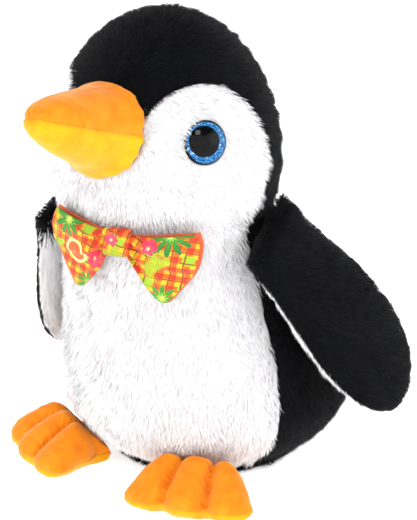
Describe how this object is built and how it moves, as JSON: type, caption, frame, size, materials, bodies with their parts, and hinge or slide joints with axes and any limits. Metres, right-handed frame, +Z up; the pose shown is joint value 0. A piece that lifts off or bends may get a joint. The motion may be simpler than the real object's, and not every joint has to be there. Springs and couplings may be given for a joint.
{
  "type": "plush penguin",
  "caption": "Sewn, fibre-filled toy penguin with a cone-shaped beak, domed eyes, hanging wings, flat three-toed feet and a printed bow tie.",
  "frame": {"origin": "centre of the flat base, on the surface that the toy stands on", "axes": "+Z up, the toy faces -Y, and its own left side is +X"},
  "size_m": [0.3442, 0.3652, 0.3996],
  "materials": {
    "black_plush": "matte",
    "white_plush": "matte",
    "orange_velour": "matte",
    "yellow_velour": "matte",
    "bow_print": "matte",
    "bow_backing": "matte",
    "fibre_filling": "matte",
    "eye_plastic": "gloss",
    "washer_plastic": "satin"
  },
  "bodies": {
    "torso": {"belly_panel": "white_plush", "back_panel_left": "black_plush", "back_panel_right": "black_plush", "base_panel": "black_plush", "body_filling": "fibre_filling"},
    "head": {"hood_left": "black_plush", "hood_right": "black_plush", "face_left": "white_plush", "face_right": "white_plush", "head_filling": "fibre_filling", "beak_upper": "orange_velour", "beak_lower": "yellow_velour", "beak_filling": "fibre_filling", "eye_left": "eye_plastic", "eye_right": "eye_plastic", "eye_washer_left": "washer_plastic", "eye_washer_right": "washer_plastic"},
    "bow_tie": {"bow_loop_left": "bow_print", "bow_loop_right": "bow_print", "bow_backing_left": "bow_backing", "bow_backing_right": "bow_backing", "bow_knot": "bow_print"},
    "wing_left": {"wing_outer_left": "black_plush", "wing_lining_left": "white_plush", "wing_filling_left": "fibre_filling"},
    "foot_left": {"foot_upper_left": "orange_velour", "foot_sole_left": "yellow_velour", "foot_filling_left": "fibre_filling"},
    "wing_right": {"wing_outer_right": "black_plush", "wing_lining_right": "white_plush", "wing_filling_right": "fibre_filling"},
    "foot_right": {"foot_upper_right": "orange_velour", "foot_sole_right": "yellow_velour", "foot_filling_right": "fibre_filling"}
  },
  "joints": [
    {"name": "head_turn", "type": "hinge", "parent": "torso", "child": "head", "pos_m": [0, -0.058, 0.236], "axis": [0, 0, 1], "range_deg": [-15, 15], "stiffness_Nm_per_rad": 0.5},
    {"name": "wing_left_lift", "type": "hinge", "parent": "torso", "child": "wing_left", "pos_m": [0.10317, -0.05134, 0.221], "axis": [0.2201, -0.8746, -0.432], "range_deg": [-8, 75], "stiffness_Nm_per_rad": 0.3},
    {"name": "wing_right_lift", "type": "hinge", "parent": "torso", "child": "wing_right", "pos_m": [-0.10317, -0.05134, 0.221], "axis": [0.1498, 0.8746, 0.4611], "range_deg": [0, 83], "stiffness_Nm_per_rad": 0.3},
    {"name": "foot_left_flex", "type": "hinge", "parent": "torso", "child": "foot_left", "pos_m": [0.05819, -0.08009, 0.009], "axis": [-0.9613, -0.2756, 0], "range_deg": [0, 6], "stiffness_Nm_per_rad": 0.3},
    {"name": "foot_right_flex", "type": "hinge", "parent": "torso", "child": "foot_right", "pos_m": [-0.07122, -0.06877, 0.009], "axis": [-0.8387, 0.5446, 0], "range_deg": [0, 6], "stiffness_Nm_per_rad": 0.3},
    {"name": "bow_swivel", "type": "hinge", "parent": "torso", "child": "bow_tie", "pos_m": [0.02092, -0.14862, 0.229], "axis": [0.225, -0.9744, 0], "range_deg": [-6, 6], "stiffness_Nm_per_rad": 0.05}
  ]
}
